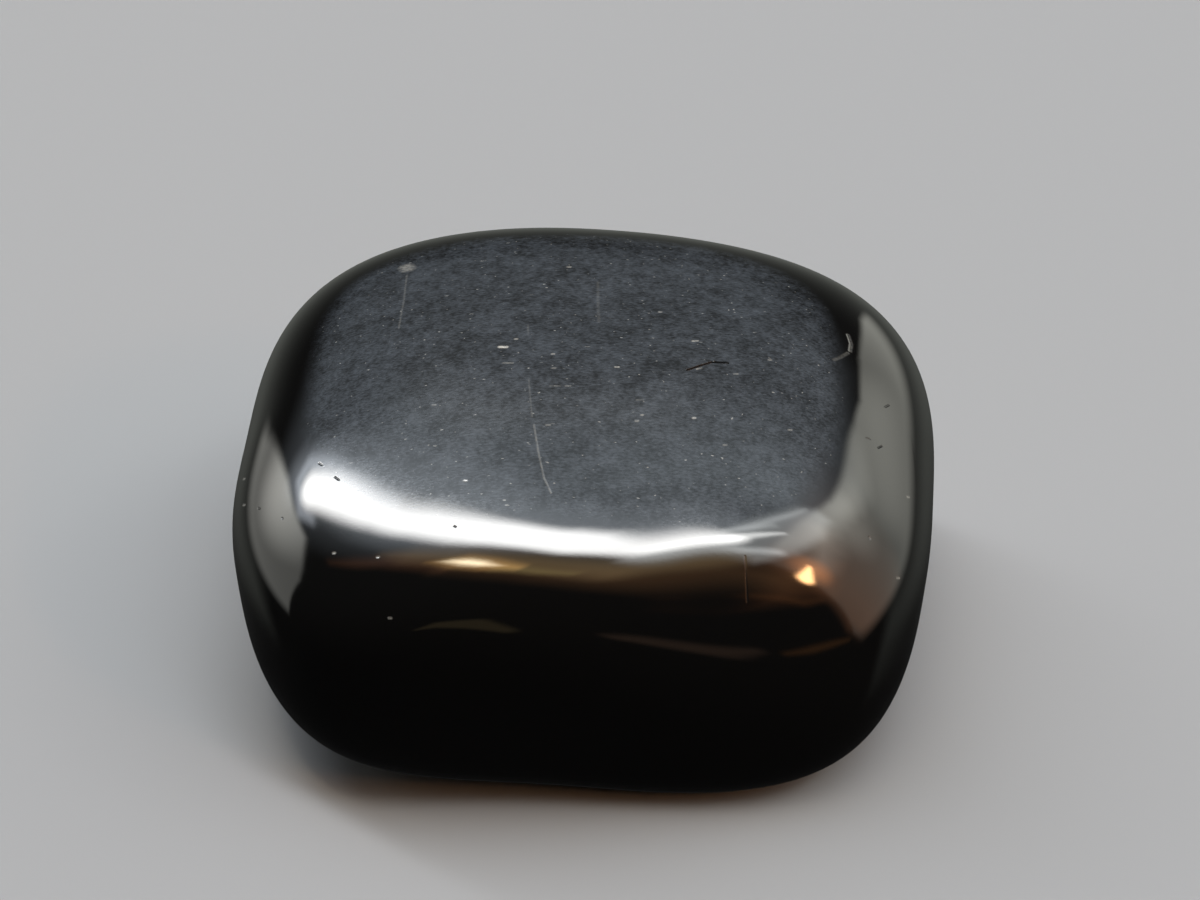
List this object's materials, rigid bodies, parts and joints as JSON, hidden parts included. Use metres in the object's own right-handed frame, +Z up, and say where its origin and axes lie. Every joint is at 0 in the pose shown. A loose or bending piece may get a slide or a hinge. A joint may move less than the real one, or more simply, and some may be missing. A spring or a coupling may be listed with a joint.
{
  "type": "tumbled shungite stone",
  "caption": "Squarish cushion-shaped tumbled stone, black and highly polished, with a flat to rest on.",
  "frame": {"origin": "middle of the outline seen from above, on the surface that the stone rests on", "axes": "+Z up, out of the broad top face; +X and +Y run across the squarish outline, -Y is the front side"},
  "size_m": [0.0278, 0.027, 0.0145],
  "materials": {
    "polished_shungite": "tumble polished, near mirror gloss with fine scratches"
  },
  "bodies": {
    "root": {"tumbled_stone": "polished_shungite"}
  },
  "joints": []
}
